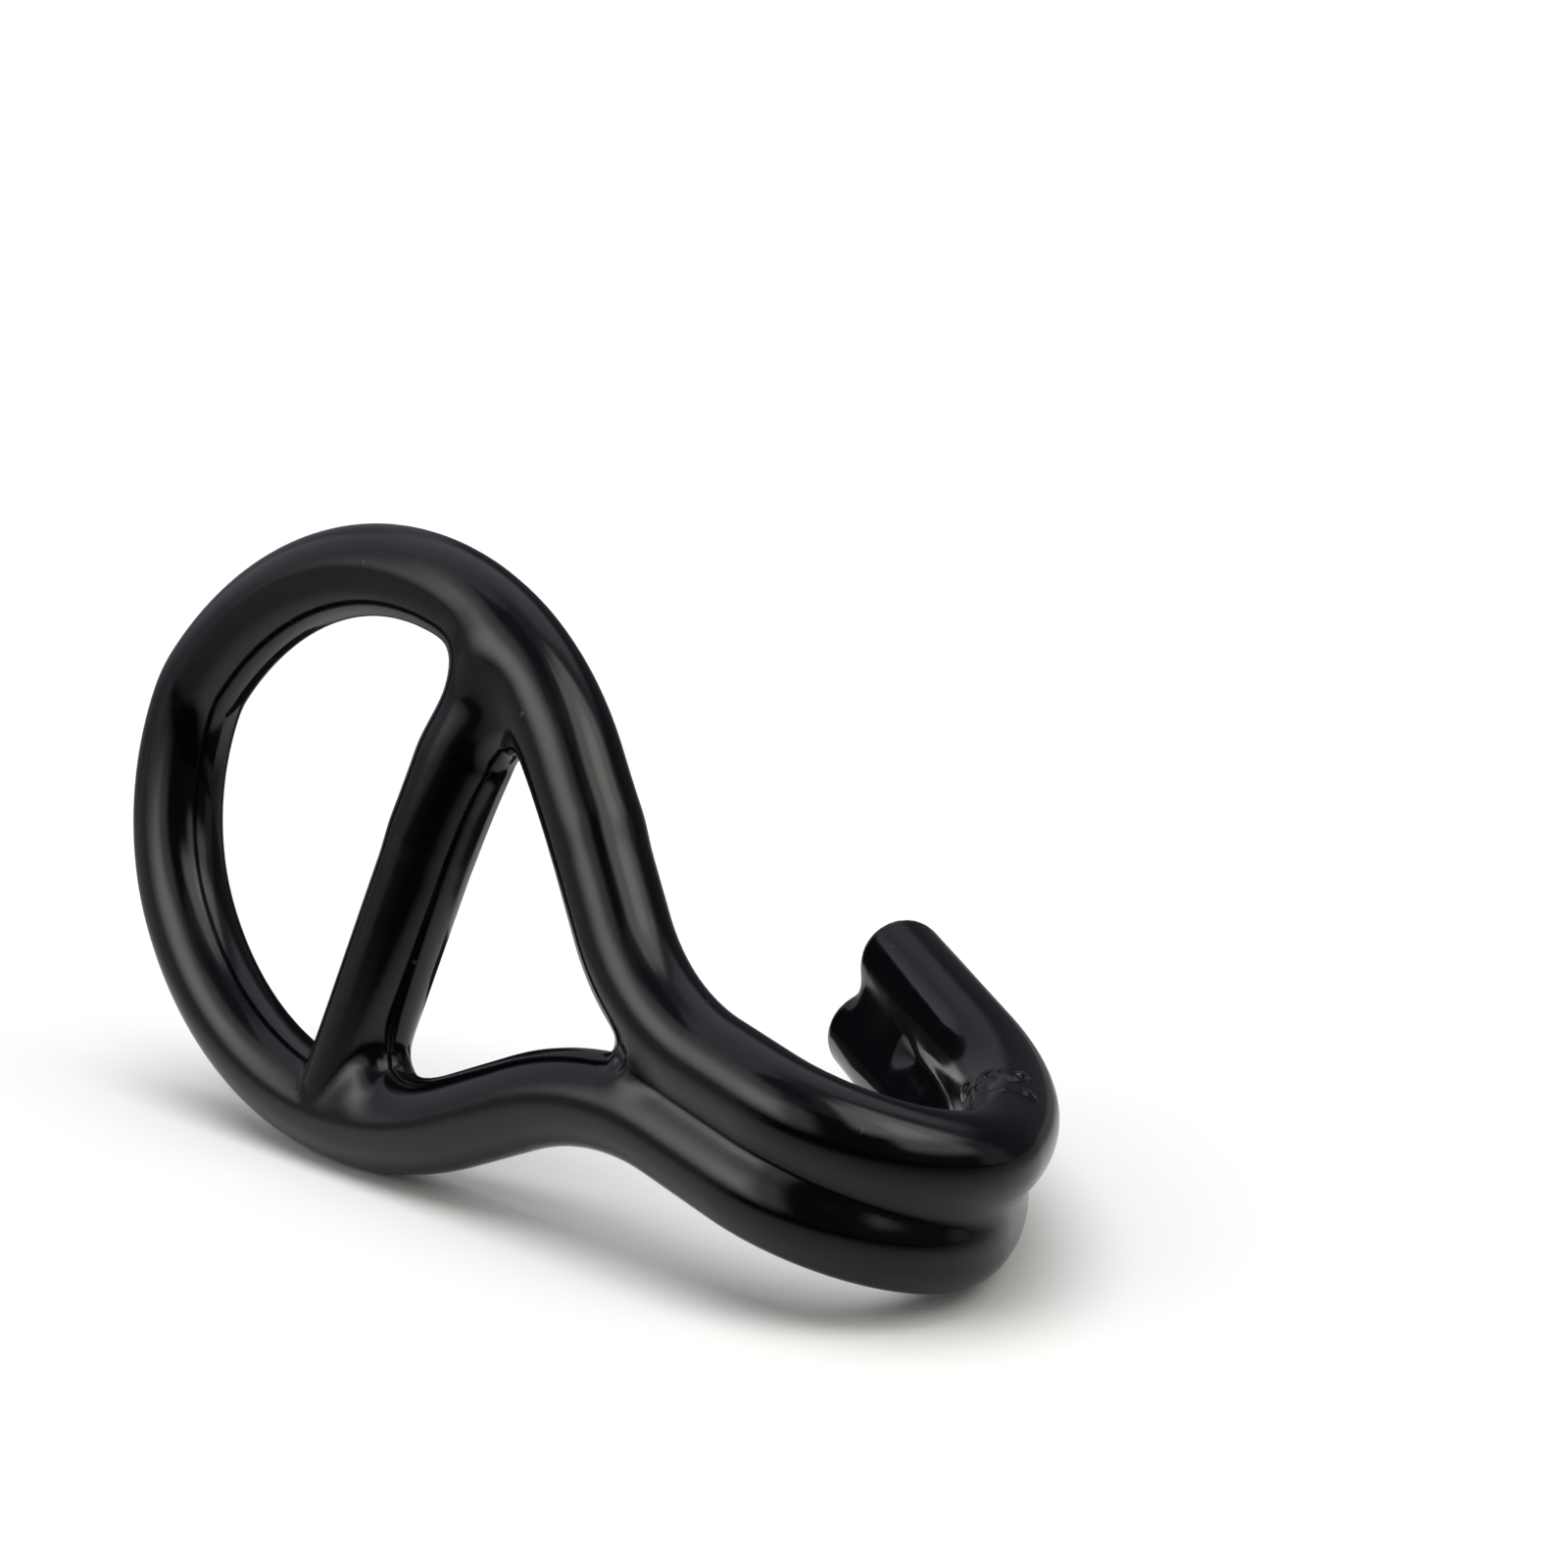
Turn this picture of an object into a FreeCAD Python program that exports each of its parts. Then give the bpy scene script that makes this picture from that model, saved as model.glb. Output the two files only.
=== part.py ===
import FreeCAD, Part
import math
import os

# Double-strand strap hook: one bent steel rod, a welded webbing bar, weld metal and a dipped vinyl skin.
# Units mm.  The bend table is laid out in hook axes: u along the shank toward the hook, v along the
# webbing bar, w at right angles to the eye, the way the J curls.  The finished part is then turned
# to stand on edge, +Z up, the way the real hook rests on a table.

Vector = FreeCAD.Vector

# ---- rod and skin
ROD_R = 4.0            # bare steel rod, 8 mm
SKIN = 1.0             # vinyl on the sides of the rod
COAT_R = ROD_R + SKIN
END_SKIN = 1.2         # vinyl over the two rod ends
END_CHAMFER = 0.8      # sheared rod end, edge knocked off
END_ROUND = 2.2        # rounded corner of the skin at a rod end

# ---- eye, bend table from the upper strand round to the lower strand (radius, degrees)
SHANK_U = 45.5         # where the upper strand straightens into the shank
LOWER_SHIFT = -2.0     # the lower strand straightens this much sooner
HALF_PITCH = 4.2       # strand centre to shank centre line
LEG_OUT_UPPER = (24.4, 43.1)
LEG_OUT_LOWER = (31.0, 38.3)
SHOULDER_UPPER = (35.7, 56.4)
BIGHT_UPPER = (33.4, 57.9)
BIGHT_KINK = (11.0, 18.6)
BIGHT_LOWER = (28.5, 49.3)
SHOULDER_LOWER_R = 38.4

# ---- J hook, the same for both strands
SHANK_LEN = 7.6        # straight run before the J
J_R, J_DEG = 14.5, 114.2
TAIL_R, TAIL_DEG = 55.6, 36.4
TIP_LEN = 25.7         # straight tip to the steel end face
LOWER_TIP_EXTRA = 1.4  # the lower rod end stands a little further out
SPLAY_DEG = 0.73       # each J leans outward, so the tips stand slightly apart

# ---- webbing bar and its welds
BAR_U = 0.2
BAR_GAP_UPPER = 10.0   # bar end face to the centre line of the eye rod
BAR_GAP_LOWER = 4.9
BAR_COAT_R = 4.9
BAR_TAPER_LEN = 3.6    # the upper bar end is drawn down before it is welded
BAR_TAPER_R = 3.2
BAR_CHAMFER = 0.8
NECK_R = 3.2           # weld metal between bar end and eye rod
NECK_COAT_R = 4.2
LOWER_NECK_R = 3.6
FILLET_UPPER = 3.0     # vinyl run-out round each bar joint
FILLET_LOWER = 2.0

# ---- seam weld in the crotch and tack weld inside the J
SEAM_R = 3.0
SEAM_FROM, SEAM_TO = 37.0, 53.0
SEAM_COAT_R = 3.9
TACK_R, TACK_DEPTH = 1.4, 2.4
TACK_FROM_DEG, TACK_TO_DEG = 52.0, 88.0
TACK_COAT_R = 2.2

# ---- groove between the strands, part filled by the dip
GROOVE_HALF, GROOVE_FLOOR, GROOVE_EDGE = 1.75, 3.45, 3.9

# ---- resting attitude: the direction of gravity in hook axes
DOWN = Vector(0.2141, 0.9587, 0.1872)

U, V, W = Vector(1, 0, 0), Vector(0, 1, 0), Vector(0, 0, 1)


class Path:
    """A bend table walked from a point: straight runs and bends about a given axis."""

    def __init__(self, point, heading):
        self.p = Vector(point)
        self.t = Vector(heading)
        self.edges = []

    def straight(self, length):
        if length > 1e-6:
            end = self.p + self.t * length
            self.edges.append(Part.LineSegment(self.p, end).toShape())
            self.p = end
        return self

    def bend(self, radius, degrees, axis):
        turn = axis * (1 if degrees > 0 else -1)
        centre = self.p + turn.cross(self.t) * radius
        spoke = self.p - centre

        def at(deg):
            return centre + FreeCAD.Rotation(turn, deg).multVec(spoke)

        size = abs(degrees)
        self.edges.append(Part.Arc(self.p, at(size / 2), at(size)).toShape())
        self.p = at(size)
        self.t = FreeCAD.Rotation(turn, size).multVec(self.t)
        return self


def tube(edges, radius):
    """Round rod swept along tangent edges."""
    wire = Part.Wire(edges)
    start = edges[0].valueAt(edges[0].FirstParameter)
    tangent = edges[0].tangentAt(edges[0].FirstParameter)
    ring = Part.Wire([Part.makeCircle(radius, start, tangent)])
    return wire.makePipeShell([ring], True, False)


def rod_end(point, heading, radius, length, edge, rounded):
    """Rod end from a point along the heading, with a chamfered or rounded rim."""
    solid = Part.makeCylinder(radius, length, point, heading)
    rim = [e for e in solid.Edges
           if abs((e.CenterOfMass - point).dot(heading) - length) < 1e-6 and e.Closed]
    return solid.makeFillet(edge, rim) if rounded else solid.makeChamfer(edge, rim)


def eye_halves():
    """Eye from the upper strand to the bight kink, and from there to the lower strand."""
    a0 = LEG_OUT_UPPER[1]
    turned = SHOULDER_UPPER[1] + BIGHT_UPPER[1] + BIGHT_KINK[1] + BIGHT_LOWER[1]
    shoulder_lower = 180 + a0 + LEG_OUT_LOWER[1] - turned

    def walk(leg_upper, leg_lower):
        upper = Path(Vector(SHANK_U, -HALF_PITCH, 0), -U)
        upper.bend(LEG_OUT_UPPER[0], a0, W).straight(leg_upper)
        upper.bend(SHOULDER_UPPER[0], -SHOULDER_UPPER[1], W)
        upper.bend(BIGHT_UPPER[0], -BIGHT_UPPER[1], W)
        upper.bend(BIGHT_KINK[0], -BIGHT_KINK[1], W)
        lower = Path(upper.p, upper.t)
        lower.bend(BIGHT_LOWER[0], -BIGHT_LOWER[1], W)
        lower.bend(SHOULDER_LOWER_R, -shoulder_lower, W)
        lower.straight(leg_lower)
        lower.bend(LEG_OUT_LOWER[0], LEG_OUT_LOWER[1], W)
        return upper, lower

    # the two straight legs are whatever length closes the eye onto the shank
    goal = Vector(SHANK_U + LOWER_SHIFT, HALF_PITCH, 0)
    miss = goal - walk(0, 0)[1].p
    d0 = walk(1, 0)[1].p - walk(0, 0)[1].p
    d1 = walk(0, 1)[1].p - walk(0, 0)[1].p
    det = d0.x * d1.y - d1.x * d0.y
    leg_upper = (miss.x * d1.y - d1.x * miss.y) / det
    leg_lower = (d0.x * miss.y - miss.x * d0.y) / det
    return walk(leg_upper, leg_lower)


def hook_path(side, start_u, tip_extra):
    """One J: side -1 is the upper strand, +1 the lower, 0 the plane between them."""
    lean = math.radians(SPLAY_DEG) * side
    curl = W * math.cos(lean) + V * math.sin(lean)
    axis = U.cross(curl)
    path = Path(Vector(start_u, side * HALF_PITCH, 0), U)
    path.straight(SHANK_U + SHANK_LEN - start_u)
    path.bend(J_R, J_DEG, axis).bend(TAIL_R, TAIL_DEG, axis)
    path.straight(TIP_LEN + tip_extra - 4.0)
    return path


def nearest_v(edges, u, sign):
    """v of the eye centre line at a given u, on the upper (-1) or lower (+1) side."""
    wire = Part.Wire(edges)
    probe = Part.LineSegment(Vector(u, 0, 0), Vector(u, sign * 60, 0)).toShape()
    return wire.distToShape(probe)[1][0][0].y


upper_eye, lower_eye = eye_halves()
upper_j = hook_path(-1, SHANK_U, 0.0)
lower_j = hook_path(1, SHANK_U + LOWER_SHIFT, LOWER_TIP_EXTRA)
bar_top = nearest_v(upper_eye.edges, BAR_U, -1)
bar_bottom = nearest_v(lower_eye.edges, BAR_U, 1)

# ---- steel
eye_rod = tube(upper_eye.edges, ROD_R).fuse(tube(lower_eye.edges, ROD_R))
wire_form = eye_rod
for strand in (upper_j, lower_j):
    wire_form = wire_form.fuse(tube(strand.edges, ROD_R))
    wire_form = wire_form.fuse(rod_end(strand.p, strand.t, ROD_R, 4.0, END_CHAMFER, False))
wire_form = wire_form.removeSplitter()

bar_a = bar_top + BAR_GAP_UPPER
bar_b = bar_bottom - BAR_GAP_LOWER


def along_bar(from_v, to_v, radius, far_radius=None):
    """Cylinder or cone on the bar axis."""
    start, length = Vector(BAR_U, from_v, 0), to_v - from_v
    if far_radius is None:
        return Part.makeCylinder(radius, length, start, V)
    return Part.makeCone(radius, far_radius, length, start, V)


shaft = along_bar(bar_a + BAR_TAPER_LEN, bar_b, ROD_R)
far_rim = [e for e in shaft.Edges if e.Closed and e.CenterOfMass.y > bar_b - 0.01]
shaft = shaft.makeChamfer(BAR_CHAMFER, far_rim)
webbing_bar = shaft.fuse(along_bar(bar_a, bar_a + BAR_TAPER_LEN, BAR_TAPER_R, ROD_R)).removeSplitter()
bar_weld_upper = along_bar(bar_top, bar_a, NECK_R).cut(wire_form)
bar_weld_lower = along_bar(bar_b - 0.5, bar_bottom, LOWER_NECK_R).cut(wire_form).cut(webbing_bar)

seam = Part.makeCylinder(SEAM_R, SEAM_TO - SEAM_FROM, Vector(SEAM_FROM, 0, 0), U)
crotch_weld = seam.cut(wire_form)

mid = hook_path(0, SHANK_U, 0.0)
j_start = Vector(SHANK_U + SHANK_LEN, 0, 0)


def tack(radius):
    """Bead in the inner groove of the J, between two angles round the bend."""
    turn = U.cross(W)
    centre = j_start + W * J_R
    spoke = (j_start - centre).normalize() * (J_R - TACK_DEPTH)
    ends = [FreeCAD.Rotation(turn, d).multVec(spoke) + centre
            for d in (TACK_FROM_DEG, (TACK_FROM_DEG + TACK_TO_DEG) / 2, TACK_TO_DEG)]
    bead = tube([Part.Arc(*ends).toShape()], radius)
    for point in (ends[0], ends[2]):
        bead = bead.fuse(Part.makeSphere(radius, point))
    return bead.removeSplitter()


tack_weld = tack(TACK_R).cut(wire_form)

steel = wire_form.fuse([webbing_bar, bar_weld_upper, bar_weld_lower, crotch_weld, tack_weld])

# ---- vinyl skin
outer = [tube(upper_eye.edges, COAT_R), tube(lower_eye.edges, COAT_R)]
for strand in (upper_j, lower_j):
    outer.append(tube(strand.edges, COAT_R))
    outer.append(rod_end(strand.p, strand.t, COAT_R, 4.0 + END_SKIN, END_ROUND, True))
outer.append(along_bar(bar_a + BAR_TAPER_LEN, bar_bottom, BAR_COAT_R))
outer.append(along_bar(bar_a, bar_a + BAR_TAPER_LEN, NECK_COAT_R, BAR_COAT_R))
outer.append(along_bar(bar_top, bar_a, NECK_COAT_R))


def groove_fill():
    """Concave-faced strip of vinyl between the two strands, crotch to tip."""
    at = Vector(SEAM_FROM + 1.6, 0, 0)
    h, floor, edge = GROOVE_HALF, GROOVE_FLOOR, GROOVE_EDGE
    corner = [at + V * (a * h) + W * (b * edge) for a, b in ((-1, 1), (1, 1), (1, -1), (-1, -1))]
    profile = Part.Wire([
        Part.Arc(corner[0], at + W * floor, corner[1]).toShape(),
        Part.makeLine(corner[1], corner[2]),
        Part.Arc(corner[2], at - W * floor, corner[3]).toShape(),
        Part.makeLine(corner[3], corner[0]),
    ])
    spine = hook_path(0, at.x, 0.0)
    return Part.Wire(spine.edges).makePipeShell([profile], True, False)


outer.append(groove_fill())
outer.append(Part.makeSphere(SEAM_COAT_R, Vector(SEAM_FROM + 1.6, 0, 0)))
outer.append(tack(TACK_COAT_R))
skin = outer[0].fuse(outer[1:]).removeSplitter()


def joint_edges(solid, v_mid, reach):
    """Edges of a bar joint: those that run round the bar axis within reach of v_mid."""
    found = []
    for e in solid.Edges:
        if e.Length < 0.05:
            continue
        pts = e.discretize(9)
        off = [math.hypot(p.x - BAR_U, p.z) for p in pts]
        if all(abs(p.y - v_mid) < reach for p in pts) and min(off) > 3.0 and max(off) < 6.5:
            found.append(e)
    return found


skin = skin.makeFillet(FILLET_UPPER, joint_edges(skin, bar_top + 4.5, 3.5))
skin = skin.makeFillet(FILLET_LOWER, joint_edges(skin, bar_bottom - 3.5, 3.6))
steel = [wire_form, webbing_bar, bar_weld_upper, bar_weld_lower, crotch_weld, tack_weld]
vinyl_coating = skin.cut(steel)

# ---- turn to the resting attitude, origin under the middle of the box
up = DOWN.negative().normalize()
ahead = (U - up * U.dot(up)).normalize()
left = up.cross(ahead)
turn = FreeCAD.Matrix(ahead.x, ahead.y, ahead.z, 0, left.x, left.y, left.z, 0, up.x, up.y, up.z, 0)
box = skin.copy()
box.transformShape(turn)
box = box.optimalBoundingBox(False, False)
turn.A14, turn.A24, turn.A34 = -(box.XMin + box.XMax) / 2, -(box.YMin + box.YMax) / 2, -box.ZMin

shapes = {
    "wire_form": wire_form,
    "webbing_bar": webbing_bar,
    "bar_weld_upper": bar_weld_upper,
    "bar_weld_lower": bar_weld_lower,
    "crotch_weld": crotch_weld,
    "tack_weld": tack_weld,
    "vinyl_coating": vinyl_coating,
}
os.makedirs("parts", exist_ok=True)
for name, shape in shapes.items():
    part = shape.Solids[0].copy()
    part.transformShape(turn)
    part.exportStep("parts/" + name + ".step")
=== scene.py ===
import math

import bpy
import bmesh
import numpy as np
from mathutils import Euler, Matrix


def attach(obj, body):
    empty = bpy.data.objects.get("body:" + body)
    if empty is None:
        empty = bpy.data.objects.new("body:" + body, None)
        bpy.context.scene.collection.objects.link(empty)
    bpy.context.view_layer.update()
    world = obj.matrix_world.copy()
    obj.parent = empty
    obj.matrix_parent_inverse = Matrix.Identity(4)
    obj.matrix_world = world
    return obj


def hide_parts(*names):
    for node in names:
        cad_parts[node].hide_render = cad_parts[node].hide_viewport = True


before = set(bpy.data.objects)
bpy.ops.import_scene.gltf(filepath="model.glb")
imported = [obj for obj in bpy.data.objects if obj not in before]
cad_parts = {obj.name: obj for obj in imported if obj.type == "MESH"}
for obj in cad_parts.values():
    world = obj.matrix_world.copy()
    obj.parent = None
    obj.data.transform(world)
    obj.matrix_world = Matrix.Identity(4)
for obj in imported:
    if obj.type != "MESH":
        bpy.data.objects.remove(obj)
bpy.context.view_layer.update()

# ---- the hook's bends in mm, as in the CAD.  Hook axes: u along the shank toward the J,
# v along the webbing bar, w at right angles to the eye, the way the J curls
U, V, W = np.eye(3)
COAT_R = 5.0             # dipped strand
HALF_PITCH = 4.2         # strand centre to the shank's centre line
SHANK_U = 45.5           # where the upper strand straightens into the shank
LOWER_SHIFT = -2.0       # the lower strand straightens this much sooner
LEG_OUT_UPPER, LEG_OUT_LOWER = (24.4, 43.1), (31.0, 38.3)      # radius, degrees
SHOULDER_UPPER, SHOULDER_LOWER_R = (35.7, 56.4), 38.4
BIGHT_UPPER, BIGHT_KINK, BIGHT_LOWER = (33.4, 57.9), (11.0, 18.6), (28.5, 49.3)
J_START_U = 53.1
J_R, J_DEG = 14.5, 114.2
TAIL_R, TAIL_DEG = 55.6, 36.4
SPLAY_DEG = 0.73         # each J leans outward
END_SKIN, END_ROUND = 1.2, 2.2   # vinyl over a rod end, and its rounded corner
TIP_UPPER, TIP_LOWER = 25.7 + END_SKIN, 27.1 + END_SKIN
BAR_U, BAR_R = 0.2, 4.93         # webbing bar, dipped
BAR_TOP, BAR_BOTTOM = -31.540, 23.999   # where the bar's axis meets the centre line of the eye


def turned(axis, deg, x):
    """x turned about a unit axis by deg degrees."""
    t = math.radians(deg)
    return x * math.cos(t) + np.cross(axis, x) * math.sin(t) + axis * np.dot(axis, x) * (1 - math.cos(t))


class Path:
    """Straight runs and bends walked from a point; run holds them as (kind, ...) primitives."""

    def __init__(self, point, heading):
        self.p, self.t, self.run = np.array(point, float), np.array(heading, float), []

    def straight(self, length):
        end = self.p + self.t * length
        self.run.append(("line", self.p, end))
        self.p = end
        return self

    def bend(self, radius, deg, axis):
        centre = self.p + np.cross(axis, self.t) * radius
        spoke = self.p - centre
        self.run.append(("arc", centre, axis, spoke / radius, radius, math.radians(deg)))
        self.p = centre + turned(axis, deg, spoke)
        self.t = turned(axis, deg, self.t)
        return self


def eye():
    """Eye from the upper strand round to the lower one; two straight legs close it on the shank."""
    def walk(leg_upper, leg_lower):
        upper = Path((SHANK_U, -HALF_PITCH, 0), -U).bend(*LEG_OUT_UPPER, W).straight(leg_upper)
        for bend in (SHOULDER_UPPER, BIGHT_UPPER, BIGHT_KINK):
            upper.bend(*bend, -W)
        lower = Path(upper.p, upper.t).bend(*BIGHT_LOWER, -W).bend(SHOULDER_LOWER_R, shoulder_lower, -W)
        lower.straight(leg_lower).bend(*LEG_OUT_LOWER, W)
        return upper, lower

    shoulder_lower = 180 + LEG_OUT_UPPER[1] + LEG_OUT_LOWER[1]
    for bend in (SHOULDER_UPPER, BIGHT_UPPER, BIGHT_KINK, BIGHT_LOWER):
        shoulder_lower -= bend[1]

    start = walk(0, 0)[1].p
    miss = np.array([SHANK_U + LOWER_SHIFT, HALF_PITCH, 0]) - start
    reach = np.array([walk(1, 0)[1].p - start, walk(0, 1)[1].p - start]).T[:2]
    return walk(*np.linalg.solve(reach, miss[:2]))


def hook(side, start_u):
    """One strand from the shank round the J to the start of its straight tip; side is -1 or 1."""
    lean = math.radians(SPLAY_DEG) * side
    curl = W * math.cos(lean) + V * math.sin(lean)
    axis = np.cross(U, curl)
    path = Path((start_u, side * HALF_PITCH, 0), U)
    return path.straight(J_START_U - start_u).bend(J_R, J_DEG, axis).bend(TAIL_R, TAIL_DEG, axis)


def distance(run, p):
    """Distance from points p to the centre line made of run's primitives."""
    best = np.full(len(p), 1e3)
    for piece in run:
        if piece[0] == "line":
            a, b = piece[1], piece[2]
            d = b - a
            t = np.clip((p - a) @ d / max(d @ d, 1e-12), 0, 1)
            near = a + t[:, None] * d
        else:
            _, c, axis, s, radius, span = piece
            q = p - c
            side = np.cross(axis, s)
            x, y = q @ s, q @ side
            phi = np.arctan2(y, x)
            mid = span / 2
            phi = (phi - mid + math.pi) % (2 * math.pi) - math.pi + mid
            phi = np.clip(phi, 0, span)
            near = c + radius * (np.cos(phi)[:, None] * s + np.sin(phi)[:, None] * side)
        np.minimum(best, np.linalg.norm(p - near, axis=1), out=best)
    return best


def smin(a, b, k):
    """The lower of a and b, with the corner between them filled k/4 deep and no break in curvature."""
    k = 1.5 * k
    h = np.maximum(k - np.abs(a - b), 0) / np.maximum(k, 1e-6)
    return np.minimum(a, b) - h * h * h * k / 6


def step(x, lo, hi):
    """0 below lo, 1 above hi, smooth between."""
    t = np.clip((x - lo) / (hi - lo), 0, 1)
    return t * t * (3 - 2 * t)


upper_eye, lower_eye = eye()
upper_j, lower_j = hook(-1, SHANK_U), hook(1, SHANK_U + LOWER_SHIFT)
TIPS = [(upper_j.p, upper_j.t, TIP_UPPER), (lower_j.p, lower_j.t, TIP_LOWER)]


def rod_end(p, start, heading, length):
    """Distance to a straight tip, flat at its end with a rounded corner."""
    radius, rim = COAT_R, END_ROUND
    q = p - start
    along = q @ heading
    off = np.linalg.norm(q - along[:, None] * heading, axis=1)
    dr, da = off - (radius - rim), along - (length - rim)
    body = np.minimum(np.maximum(dr, da), 0) + np.hypot(np.maximum(dr, 0), np.maximum(da, 0)) - rim
    back = np.linalg.norm(q, axis=1) - radius
    return np.where(along < 0, back, body)


def bar_skin(p):
    """The webbing bar: the upper end leans towards the nearer leg, the lower end runs into the rod."""
    v = np.clip(p[:, 1], BAR_TOP + 4, BAR_BOTTOM - 0.6)
    top = 1 - step(v, BAR_TOP + 7.5, BAR_TOP + 15)
    axis_u = BAR_U + 0.75 * top
    radius = BAR_R - 0.25 * top
    return np.sqrt((p[:, 0] - axis_u) ** 2 + p[:, 2] ** 2 + (p[:, 1] - v) ** 2) - radius


# vinyl in the acute corner beside the bar's upper joint: a tube bent round a circle that touches
# the bar's edge and the inner edge of the leg, its two ends sinking into the bar and the leg
CORNER_R, CORNER_TUBE = 3.4, 3.4
BAR_EDGE_U = 5.7
LEG_CENTRE, LEG_EDGE_R = np.array([-8.64, 3.05, 0.0]), 30.7
CORNER_DEG = 128.5
corner = np.array([BAR_EDGE_U + CORNER_R, 0.0, 0.0])
corner[1] = LEG_CENTRE[1] - math.sqrt((LEG_EDGE_R - CORNER_R) ** 2 - (corner[0] - LEG_CENTRE[0]) ** 2)
on_bar = corner - U * (CORNER_R + CORNER_TUBE)
on_leg = corner + turned(W, CORNER_DEG, -U) * (CORNER_R + CORNER_TUBE)
CORNER = [
    ("line", on_bar, on_bar + np.array([-2.4, 9.0, 0.0])),
    ("arc", corner, W, -U, CORNER_R + CORNER_TUBE, math.radians(CORNER_DEG)),
    ("line", on_leg, on_leg + turned(W, CORNER_DEG + 80, -U) * 9),
]
# vinyl in the dip between the two tips
BETWEEN_R = 3.7
middle, ahead = (TIPS[0][0] + TIPS[1][0]) / 2, (TIPS[0][1] + TIPS[1][1]) / 2
BETWEEN = [("line", middle + ahead * 10, middle + ahead * 22.8)]
# the bead over the tack weld, along the inside of the J
TACK_R, TACK_DEPTH, TACK_FROM, TACK_SPAN = 2.2, 2.4, 52, 36
before_tack = Path((J_START_U, 0, TACK_DEPTH), U).bend(J_R - TACK_DEPTH, TACK_FROM, -V)
TACK = Path(before_tack.p, before_tack.t).bend(J_R - TACK_DEPTH, TACK_SPAN, -V).run
# pools, runs and pits in the dipped skin, as (centre, radius, blend)
LUMPS = [
    ((38.6, 0.0, 0.0), 3.9, 2.0),
    ((53.9, -4.8, 32.0), 1.3, 0.5),
    ((58.0, -6.8, 28.6), 1.7, 0.3),
    ((56.8, -8.1, 30.4), 0.8, 0.3),
    ((59.9, -8.3, 29.3), 1.5, 0.3),
    ((63.4, -8.8, 26.5), 1.1, 0.5),
    ((61.8, -8.5, 25.1), 1.0, 0.3),
]
DIMPLES = [
    ((55.4, -7.6, 30.3), 0.9, 0.3),
    ((59.4, -9.6, 31.0), 1.0, 0.3),
    ((37.0, -0.5, -5.0), 1.6, 0.5),
]


def field(p):
    """Signed distance, near enough, to the dipped skin."""
    a = np.minimum(distance(upper_eye.run + upper_j.run, p) - COAT_R, rod_end(p, *TIPS[0]))
    b = np.minimum(distance(lower_eye.run + lower_j.run, p) - COAT_R, rod_end(p, *TIPS[1]))
    # the two strands draw together along the crotch and the shank, and more up the J
    skin = smin(a, b, 2.6 * step(p[:, 0], 12, 30) + 1.6 * step(p[:, 2], 14, 34))
    skin = smin(skin, distance(TACK, p) - TACK_R, 2.4)
    # vinyl runs out from the bar evenly at its upper joint, and mostly on the hook side at its lower one
    lower = (1.0 + 5.0 * step(p[:, 0], 0.5, 6)) * (1 - step(p[:, 1], 17, 26))
    skin = smin(skin, bar_skin(p), np.where(p[:, 1] < -4, 3.4, lower))
    skin = smin(skin, distance(CORNER, p) - CORNER_TUBE, 2.4)
    skin = smin(skin, distance(BETWEEN, p) - BETWEEN_R, 2.4)
    for (u, v, w), radius, blend in LUMPS:
        skin = smin(skin, np.linalg.norm(p - (u, v, w), axis=1) - radius, blend)
    for (u, v, w), radius, blend in DIMPLES:
        skin = -smin(-skin, np.linalg.norm(p - (u, v, w), axis=1) - radius, blend)
    return skin


def gradient(p, h=0.02):
    """Central differences of the field, h mm each side of p."""
    g = np.empty_like(p)
    for i in range(3):
        e = np.zeros(3)
        e[i] = h
        g[:, i] = (field(p + e) - field(p - e)) / (2 * h)
    return g


def project(v, rounds):
    """Points v moved on to the surface."""
    for _ in range(rounds):
        g = gradient(v)
        v = v - field(v)[:, None] * g / np.maximum((g * g).sum(1), 1e-9)[:, None]
    return v


GRID_LO, GRID_HI = np.array([-48.5, -38.5, -6.5]), np.array([75.0, 31.5, 66.0])
CELL, COARSE = 0.7, 4    # mm, and fine cells to a coarse one
FAR = 1e3
CHUNK = 200000           # points worked out at a time
RELAX_ROUNDS, RELAX = 4, 0.6


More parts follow.
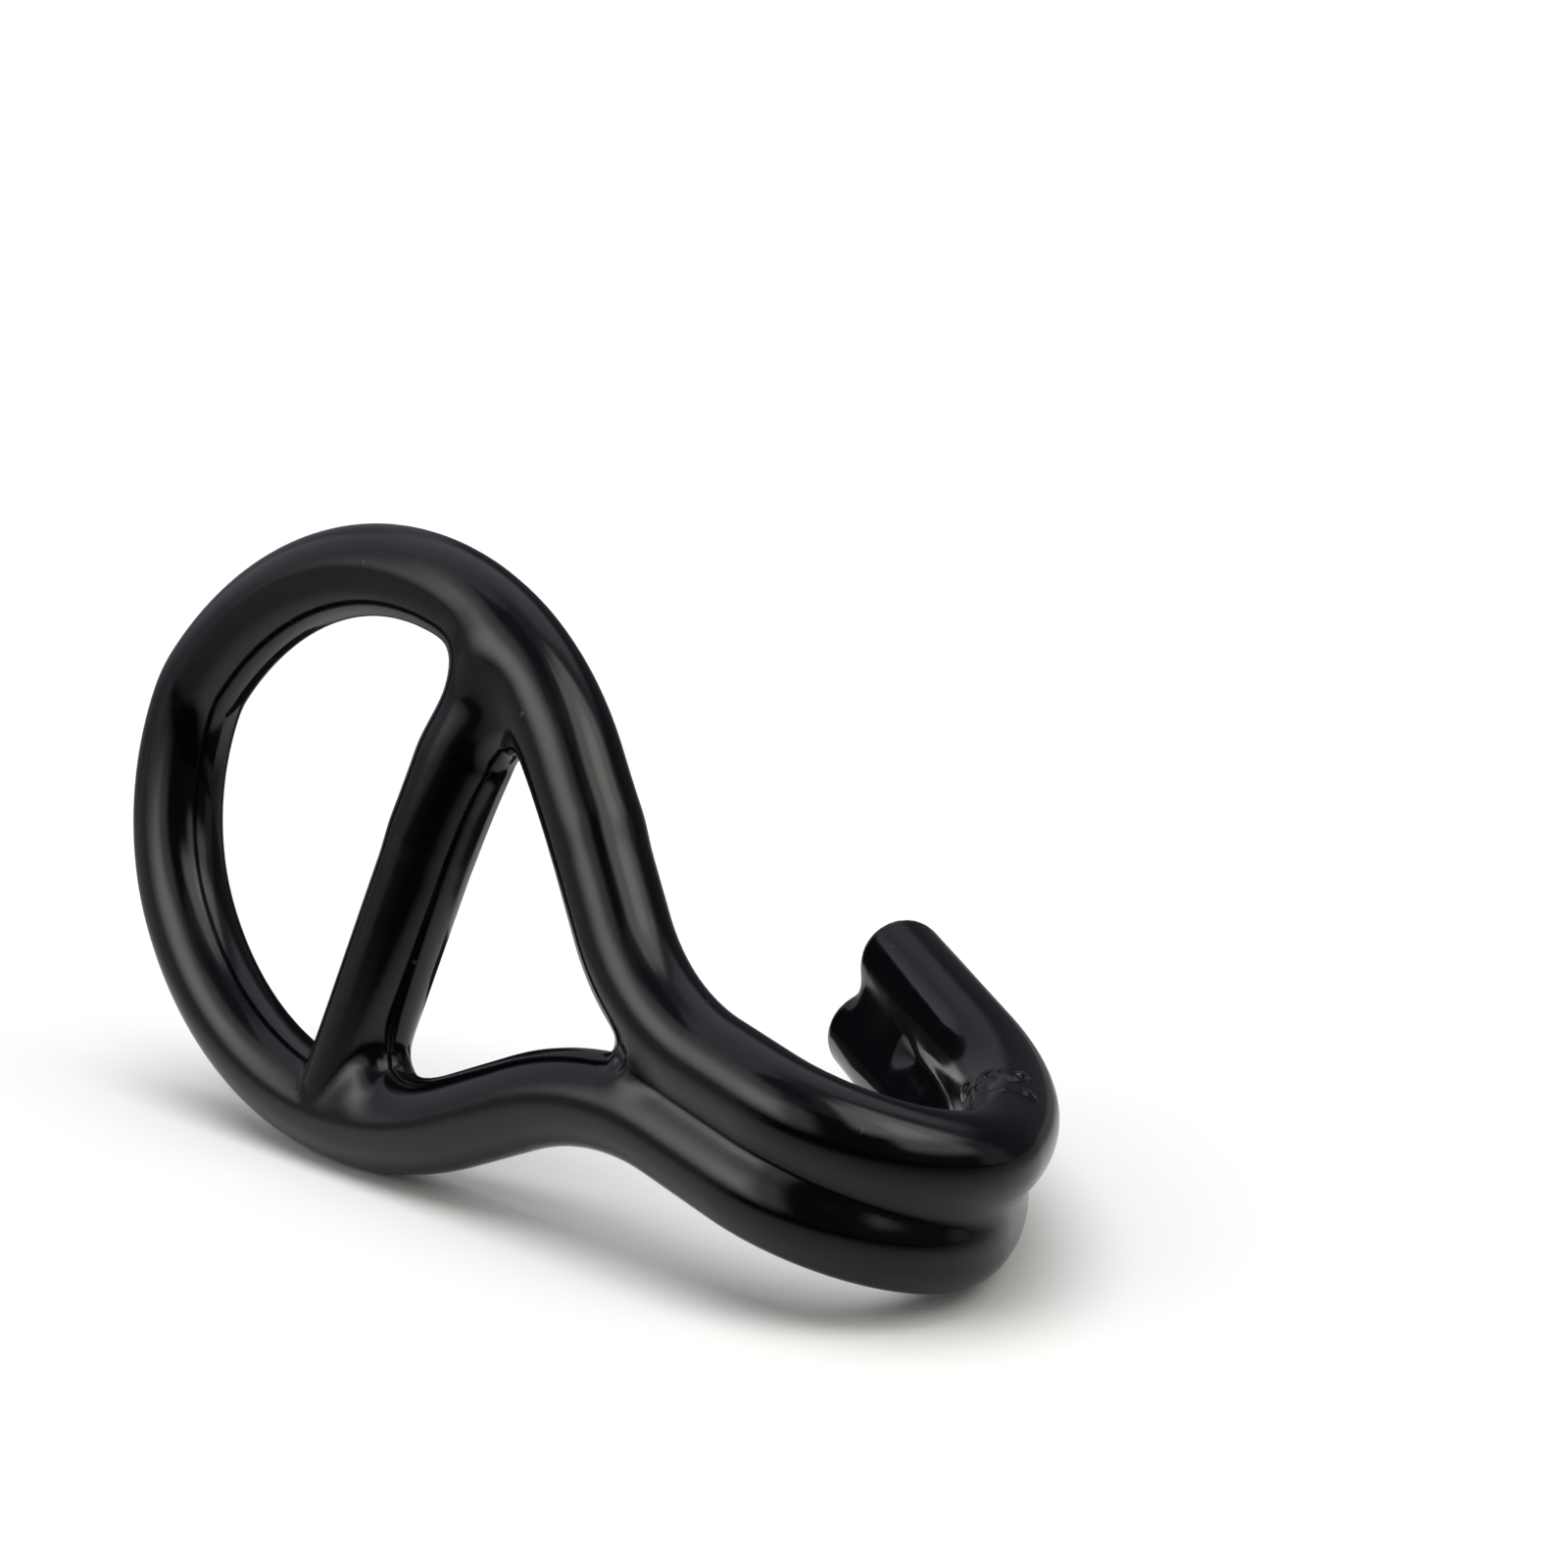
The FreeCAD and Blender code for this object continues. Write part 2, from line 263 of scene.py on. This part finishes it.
def surface():
    """Surface nets on a regular grid, then relaxed and drawn on to the true surface."""
    lo, hi, cell, coarse = GRID_LO, GRID_HI, CELL, COARSE
    n = np.ceil((hi - lo) / cell).astype(int) + 1
    axes = [lo[i] + cell * np.arange(n[i]) for i in range(3)]
    # the coarse pass finds the band round the surface, and the fine pass fills it
    idx = [np.arange(0, n[i], coarse) for i in range(3)]
    g = np.stack(np.meshgrid(*[axes[i][idx[i]] for i in range(3)], indexing="ij"), -1).reshape(-1, 3)
    fc = field(g).reshape([len(i) for i in idx])
    fine = np.repeat(np.repeat(np.repeat(fc, coarse, 0), coarse, 1), coarse, 2)[:n[0], :n[1], :n[2]]
    f = np.sign(fine) * FAR
    band = np.abs(fine) < cell * coarse * 2.2
    where = np.argwhere(band)
    pts = lo + cell * where
    f[band] = np.concatenate([field(pts[i:i + CHUNK]) for i in range(0, len(pts), CHUNK)])
    s = f < 0
    corners = [s[i:n[0] - 1 + i, j:n[1] - 1 + j, k:n[2] - 1 + k]
               for i in (0, 1) for j in (0, 1) for k in (0, 1)]
    count = sum(c.astype(np.int8) for c in corners)
    cells = (count > 0) & (count < 8)
    index = np.full(cells.shape, -1)
    index[cells] = np.arange(cells.sum())
    where = np.argwhere(cells)
    # each cell's vertex is the mean of the points where its edges cross the surface
    total, hits = np.zeros((len(where), 3)), np.zeros(len(where))
    for ax in range(3):
        others = [a for a in range(3) if a != ax]
        for i in (0, 1):
            for j in (0, 1):
                c0 = where.copy()
                c0[:, others[0]] += i
                c0[:, others[1]] += j
                c1 = c0.copy()
                c1[:, ax] += 1
                f0, f1 = f[tuple(c0.T)], f[tuple(c1.T)]
                m = (f0 < 0) != (f1 < 0)
                t = np.where(m, f0 / np.where(m, f0 - f1, 1), 0)
                x = c0.astype(float)
                x[:, ax] += t
                total[m] += x[m]
                hits[m] += 1
    verts = lo + cell * total / hits[:, None]
    # each grid edge that crosses the surface makes a face of the four cells round it
    quads = []
    for ax in range(3):
        b, c = (ax + 1) % 3, (ax + 2) % 3
        lo_s = [slice(None)] * 3
        hi_s = [slice(None)] * 3
        lo_s[ax], hi_s[ax] = slice(0, -1), slice(1, None)
        change = s[tuple(lo_s)] != s[tuple(hi_s)]
        e = np.argwhere(change)
        e = e[(e[:, b] > 0) & (e[:, c] > 0) & (e[:, b] < n[b] - 1) & (e[:, c] < n[c] - 1)]
        inside = s[tuple(e.T)]
        round_edge = []
        for db, dc in ((1, 1), (0, 1), (0, 0), (1, 0)):
            q = e.copy()
            q[:, b] -= db
            q[:, c] -= dc
            round_edge.append(index[tuple(q.T)])
        quad = np.stack(round_edge, 1)
        quad[~inside] = quad[~inside][:, ::-1]
        quads.append(quad)
    quads = np.concatenate(quads)
    edges = np.concatenate([quads[:, [i, (i + 1) % 4]] for i in range(4)])
    one, other = edges.T
    count = len(verts)
    neighbours = np.bincount(one, minlength=count) + np.bincount(other, minlength=count)
    verts = project(verts, 2)
    for _ in range(RELAX_ROUNDS):
        total = np.zeros_like(verts)
        for i in range(3):
            total[:, i] = (np.bincount(one, verts[other, i], count)
                           + np.bincount(other, verts[one, i], count))
        verts = project(verts + RELAX * (total / neighbours[:, None] - verts), 1)
    verts = project(verts, 1)
    g = gradient(verts)
    return verts, quads, g / np.linalg.norm(g, axis=1)[:, None]


# ---- hook axes to the row frame, in mm: DOWN is the way down, in hook axes, as the hook rests
DOWN = np.array([0.2141, 0.9587, 0.1872])
UP = -DOWN / np.linalg.norm(DOWN)
AHEAD = U - UP * (U @ UP)
AHEAD /= np.linalg.norm(AHEAD)
TURN = np.array([AHEAD, np.cross(UP, AHEAD), UP])
SHIFT = np.array([-13.3265, -26.5118, 28.1681])


def build_skin():
    """The dipped skin as a hollow shell: the blended outer surface, and the wall round the steel."""
    verts, quads, normals = surface()
    verts = (verts @ TURN.T + SHIFT) / 1000
    normals = normals @ TURN.T
    # the cavity the steel sits in comes from the CAD skin's own inner wall
    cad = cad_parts["vinyl_coating"].data
    bm = bmesh.new()
    bm.from_mesh(cad)
    bmesh.ops.remove_doubles(bm, verts=bm.verts, dist=1e-7)
    bm.verts.ensure_lookup_table()
    group = [-1] * len(bm.verts)
    spans = []
    for seed in bm.verts:
        if group[seed.index] >= 0:
            continue
        stack, label, members = [seed], len(spans), []
        group[seed.index] = label
        while stack:
            v = stack.pop()
            members.append(v)
            for e in v.link_edges:
                w = e.other_vert(v)
                if group[w.index] < 0:
                    group[w.index] = label
                    stack.append(w)
        spans.append(max(v.co.z for v in members) - min(v.co.z for v in members))
    outer = spans.index(max(spans))
    inner_v = [v for v in bm.verts if group[v.index] != outer]
    number = {v.index: i for i, v in enumerate(inner_v)}
    inner_f = [[number[v.index] for v in f.verts] for f in bm.faces if group[f.verts[0].index] != outer]
    points = np.array([v.co for v in inner_v]).reshape(-1, 3)
    bm.free()
    faces = quads.tolist() + [[i + len(verts) for i in f] for f in inner_f]
    mesh = bpy.data.meshes.new("vinyl_skin")
    mesh.from_pydata(np.vstack([verts, points]).tolist(), [], faces)
    smooth = np.ones(len(mesh.polygons), bool)
    smooth[len(quads):] = False
    mesh.polygons.foreach_set("use_smooth", smooth)
    mesh.update()
    vertex_normals = np.vstack([normals, np.zeros_like(points)])
    mesh.normals_split_custom_set_from_vertices(vertex_normals.tolist())
    obj = bpy.data.objects.new("vinyl_skin", mesh)
    bpy.context.scene.collection.objects.link(obj)
    return obj


def new_material(name):
    material = bpy.data.materials.new(name)
    material.use_nodes = True
    return material, material.node_tree.nodes, material.node_tree.links


def add(nodes, kind, **values):
    """A new shader node with its inputs and properties set by name."""
    node = nodes.new("ShaderNode" + kind)
    for name, value in values.items():
        if hasattr(node, name):
            setattr(node, name, value)
        else:
            node.inputs[name.replace("_", " ")].default_value = value
    return node


def noise(nodes, links, place, scale, detail=3.0):
    node = add(nodes, "TexNoise", Scale=scale, Detail=detail)
    links.new(place.outputs["Object"], node.inputs["Vector"])
    return node.outputs["Fac"]


def spread(nodes, links, value, lo, hi, to_lo, to_hi, smooth=False):
    """value mapped from lo..hi on to to_lo..to_hi, and held there outside it."""
    node = add(nodes, "MapRange", From_Min=lo, From_Max=hi, To_Min=to_lo, To_Max=to_hi,
               interpolation_type="SMOOTHSTEP" if smooth else "LINEAR")
    links.new(value, node.inputs["Value"])
    return node.outputs["Result"]


def math_of(nodes, links, operation, *values):
    """A Math node of values, each a number or an output."""
    node = add(nodes, "Math", operation=operation)
    for socket, value in zip(node.inputs, values):
        if isinstance(value, (int, float)):
            socket.default_value = value
        else:
            links.new(value, socket)
    return node.outputs[0]


def vinyl_material():
    """Glossy black dip: faint orange peel, patches rubbed duller, and a few specks of dust."""
    material, nodes, links = new_material("vinyl")
    shader = nodes["Principled BSDF"]
    shader.inputs["Specular IOR Level"].default_value = 0.5
    place = add(nodes, "TexCoord")
    rubbed = spread(nodes, links, noise(nodes, links, place, 70, 4), 0.56, 0.72, 0.0, 0.07)
    grain = spread(nodes, links, noise(nodes, links, place, 420, 2), 0.3, 0.7, 0.09, 0.13)
    roughness = math_of(nodes, links, "ADD", rubbed, grain)
    cells = add(nodes, "TexVoronoi", Scale=330)
    links.new(place.outputs["Object"], cells.inputs["Vector"])
    dots = spread(nodes, links, cells.outputs["Distance"], 0.05, 0.11, 1.0, 0.0)
    chosen = add(nodes, "SeparateColor")
    links.new(cells.outputs["Color"], chosen.inputs[0])
    rare = spread(nodes, links, chosen.outputs[0], 0.90, 0.92, 0.0, 1.0)
    specks = math_of(nodes, links, "MULTIPLY", dots, rare)
    links.new(math_of(nodes, links, "ADD", roughness, math_of(nodes, links, "MULTIPLY", specks, 0.25)),
              shader.inputs["Roughness"])
    tone = add(nodes, "Mix", data_type="RGBA")
    links.new(specks, tone.inputs["Factor"])
    tone.inputs[6].default_value = (0.0011, 0.0014, 0.0024, 1)
    tone.inputs[7].default_value = (0.020, 0.020, 0.019, 1)
    links.new(tone.outputs[2], shader.inputs["Base Color"])
    peel = noise(nodes, links, place, 260, 2)
    height = math_of(nodes, links, "ADD", math_of(nodes, links, "MULTIPLY", peel, 0.35),
                     math_of(nodes, links, "MULTIPLY", specks, 0.6))
    bump = add(nodes, "Bump", Strength=0.6, Distance=0.00006)
    links.new(height, bump.inputs["Height"])
    links.new(bump.outputs["Normal"], shader.inputs["Normal"])
    return material


def steel_material(name, color, roughness, scale):
    """Bare steel under the dip: mill scale in two tones, uneven gloss and a fine grain."""
    material, nodes, links = new_material(name)
    shader = nodes["Principled BSDF"]
    shader.inputs["Metallic"].default_value = 1
    place = add(nodes, "TexCoord")
    patches = noise(nodes, links, place, scale, 6)
    tone = add(nodes, "Mix", data_type="RGBA")
    links.new(spread(nodes, links, patches, 0.35, 0.65, 0.0, 1.0), tone.inputs["Factor"])
    tone.inputs[6].default_value = tuple(0.6 * c for c in color) + (1,)
    tone.inputs[7].default_value = color + (1,)
    links.new(tone.outputs[2], shader.inputs["Base Color"])
    uneven = spread(nodes, links, patches, 0.3, 0.7, roughness + 0.15, roughness)
    links.new(uneven, shader.inputs["Roughness"])
    bump = add(nodes, "Bump", Strength=0.5, Distance=0.0002)
    links.new(noise(nodes, links, place, scale * 8, 4), bump.inputs["Height"])
    links.new(bump.outputs["Normal"], shader.inputs["Normal"])
    return material


skin = build_skin()
skin.data.materials.append(vinyl_material())
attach(skin, "root")
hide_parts("vinyl_coating")

rod_steel = steel_material("rod_steel", (0.42, 0.42, 0.43), 0.32, 160)
weld_steel = steel_material("weld_steel", (0.30, 0.28, 0.26), 0.45, 400)
for name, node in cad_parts.items():
    node.data.materials.clear()
    node.data.materials.append(rod_steel if name in ("wire_form", "webbing_bar") else weld_steel)

# ---- floor: white where it is seen; where it is mirrored it is greyer, with a painted pool of light under the hook
# where the hook's shadow falls, darker to the front right and towards the back, and has an edge at the
# front right
FLOOR_HALF = 30
corners = [(x * FLOOR_HALF, y * FLOOR_HALF, 0) for x, y in ((-1, -1), (1, -1), (1, 1), (-1, 1))]
floor_mesh = bpy.data.meshes.new("floor")
floor_mesh.from_pydata(corners, [], [(0, 1, 2, 3)])
floor = bpy.data.objects.new("floor", floor_mesh)
bpy.context.scene.collection.objects.link(floor)
floor_material, nodes, links = new_material("floor")
nodes.remove(nodes["Principled BSDF"])
place = add(nodes, "TexCoord").outputs["Object"]


def along(direction):
    """How far along direction a floor point lies, in metres."""
    node = add(nodes, "VectorMath", operation="DOT_PRODUCT")
    node.inputs[1].default_value = direction
    links.new(place, node.inputs[0])
    return node.outputs["Value"]


fall = spread(nodes, links, along((0.82, -0.57, 0)), 0.0, 0.18, 0.38, 0.04, smooth=True)
distance_out = add(nodes, "VectorMath", operation="LENGTH")
links.new(place, distance_out.inputs[0])
# painted light: the mirrored floor is brighter close under the hook, against the hook's own shadow there
near = spread(nodes, links, distance_out.outputs["Value"], 0.03, 0.13, 1.8, 0.62, smooth=True)
back = spread(nodes, links, along((-0.5, 0.87, 0)), 0.0, 0.12, 1.0, 0.55, smooth=True)
beyond_edge = spread(nodes, links, along((0.35, -0.94, 0)), 0.09, 0.12, 0.0, 0.9)
on_right = spread(nodes, links, along((1, 0, 0)), -0.01, 0.03, 0.0, 1.0)
cut = math_of(nodes, links, "SUBTRACT", 1.0, math_of(nodes, links, "MULTIPLY", beyond_edge, on_right))
mirrored_grey_with_painted_light = fall
for factor in (near, back, cut):
    mirrored_grey_with_painted_light = math_of(nodes, links, "MULTIPLY", mirrored_grey_with_painted_light, factor)
mirrored = add(nodes, "BsdfDiffuse")
links.new(mirrored_grey_with_painted_light, mirrored.inputs["Color"])
seen_floor = add(nodes, "BsdfDiffuse", Color=(0.86, 0.855, 0.85, 1))
either = add(nodes, "MixShader")
links.new(add(nodes, "LightPath").outputs["Is Camera Ray"], either.inputs["Fac"])
links.new(mirrored.outputs[0], either.inputs[1])
links.new(seen_floor.outputs[0], either.inputs[2])
links.new(either.outputs[0], nodes["Material Output"].inputs["Surface"])
floor_mesh.materials.append(floor_material)

# ---- light: a studio painted on the world, each panel a soft-edged window of direction
world = bpy.data.worlds.new("studio")
bpy.context.scene.world = world
world.use_nodes = True
tree = world.node_tree


def math_node(operation, *values):
    return math_of(tree.nodes, tree.links, operation, *values)


def window(value, half, soft):
    """1 within half of the middle, 0 outside it, with an edge soft degrees each way."""
    return spread(tree.nodes, tree.links, math_node("ABSOLUTE", value), half - soft, half + soft, 1, 0,
                  smooth=True)


def mix_color(factor, first, second):
    node = add(tree.nodes, "Mix", data_type="RGBA", clamp_result=False)
    tree.links.new(factor, node.inputs["Factor"])
    for socket, value in ((node.inputs[6], first), (node.inputs[7], second)):
        if isinstance(value, tuple):
            socket.default_value = value
        else:
            tree.links.new(value, socket)
    return node.outputs[2]


# azimuth from the front towards the right, and elevation, in degrees
split = add(tree.nodes, "SeparateXYZ")
tree.links.new(add(tree.nodes, "TexCoord").outputs["Generated"], split.inputs["Vector"])
x, y, z = split.outputs
azimuth = math_node("MULTIPLY", math_node("ARCTAN2", x, math_node("MULTIPLY", y, -1.0)), 180 / math.pi)
height = math_node("MAXIMUM", math_node("MINIMUM", z, 1.0), -1.0)
elevation = math_node("MULTIPLY", math_node("ARCSINE", height), 180 / math.pi)

# name: azimuth, elevation, width, height and edge softness in degrees, radiance, tint; later ones
# are painted over earlier ones
GREY, WARM, COOL = (1, 1, 1), (1.0, 1.03, 0.95), (0.94, 0.97, 1.08)
PANELS = {
    "left_low": (-130, 6, 140, 40, 8, 0.20, COOL),
    "back_low": (-172, 14, 76, 44, 6, 0.07, COOL),
    "front_left": (-72, 26, 50, 34, 8, 0.50, COOL),
    "left_ceiling": (-115, 58, 150, 36, 8, 0.57, COOL),
    "dark_gap": (-10, 68, 72, 24, 6, 0.11, COOL),
    "dark_front_right": (45, 19, 60, 62, 6, 0.03, GREY),
    "dark_right": (96, 5, 64, 34, 6, 0.05, GREY),
    "key_shoulder": (5, 25, 32, 34, 8, 0.75, WARM),
    "key_upper": (-30, 44, 46, 20, 8, 0.80, WARM),
    "key": (-22, 24, 48, 34, 8, 1.50, WARM),
    "key_core": (-20, 24, 32, 20, 8, 2.60, WARM),
    "top_tail": (106, 31, 52, 22, 7, 1.1, WARM),
    "top": (100, 58, 92, 40, 8, 1.75, WARM),
    "top_core": (106, 52, 34, 18, 8, 2.9, WARM),
}
sky = (0.24, 0.245, 0.26, 1)
for az, el, wide, tall, soft, radiance, tint in PANELS.values():
    turn = math_node("WRAP", math_node("SUBTRACT", azimuth, float(az)), 180.0, -180.0)
    across = window(turn, wide / 2, soft)
    up = window(math_node("SUBTRACT", elevation, float(el)), tall / 2, soft)
    sky = mix_color(math_node("MULTIPLY", across, up), sky, tuple(radiance * c for c in tint) + (1,))
# seen directly, the studio is a plain white backdrop
seen = add(tree.nodes, "LightPath").outputs["Is Camera Ray"]
tree.links.new(mix_color(seen, sky, (1.05, 1.05, 1.05, 1)), tree.nodes["Background"].inputs["Color"])

# an overhead fill that whitens the floor without adding a highlight
fill = bpy.data.lights.new("floor_fill", "SUN")
fill.angle = math.radians(48)
fill.energy = 1.80
fill_object = bpy.data.objects.new("floor_fill", fill)
fill_object.rotation_euler = (math.radians(8), math.radians(-6), 0)
fill_object.visible_glossy = False
bpy.context.scene.collection.objects.link(fill_object)

# a black flag on the left with a foot on the floor, seen only in reflections, where it paints a dark
# reflection inside the J's tail
FLAG_X, FOOT_Z = -0.065, 0.0004
card = [(FLAG_X, y, z)
        for y, z in ((0.008, 0.0), (0.038, 0.0), (0.038, 0.052), (0.030, 0.046), (0.008, 0.042))]
foot = [(x, y, FOOT_Z) for x, y in ((-0.01, 0.012), (-0.01, 0.026), (FLAG_X, 0.038), (FLAG_X, 0.008))]
flag_mesh = bpy.data.meshes.new("left_flag")
flag_mesh.from_pydata(card + foot, [], [(0, 1, 2, 3, 4), (5, 6, 7, 8)])
flag = bpy.data.objects.new("left_flag", flag_mesh)
bpy.context.scene.collection.objects.link(flag)
flag.visible_camera = flag.visible_diffuse = flag.visible_shadow = False
flag_material, nodes, links = new_material("flag")
nodes["Principled BSDF"].inputs["Base Color"].default_value = (0.01, 0.01, 0.012, 1)
nodes["Principled BSDF"].inputs["Roughness"].default_value = 1
flag_mesh.materials.append(flag_material)

# ---- camera
camera_data = bpy.data.cameras.new("camera")
camera = bpy.data.objects.new("camera", camera_data)
bpy.context.scene.collection.objects.link(camera)
bpy.context.scene.camera = camera
camera_data.sensor_width = 36
camera_data.lens = 78.326
camera.location = (0.2533, -0.25603, 0.12185)
camera.rotation_euler = Euler([math.radians(a) for a in (77.427, -3.369, 43.673)])
camera_data.clip_start = 0.01
camera_data.clip_end = 20

bpy.context.scene.view_settings.view_transform = "Standard"
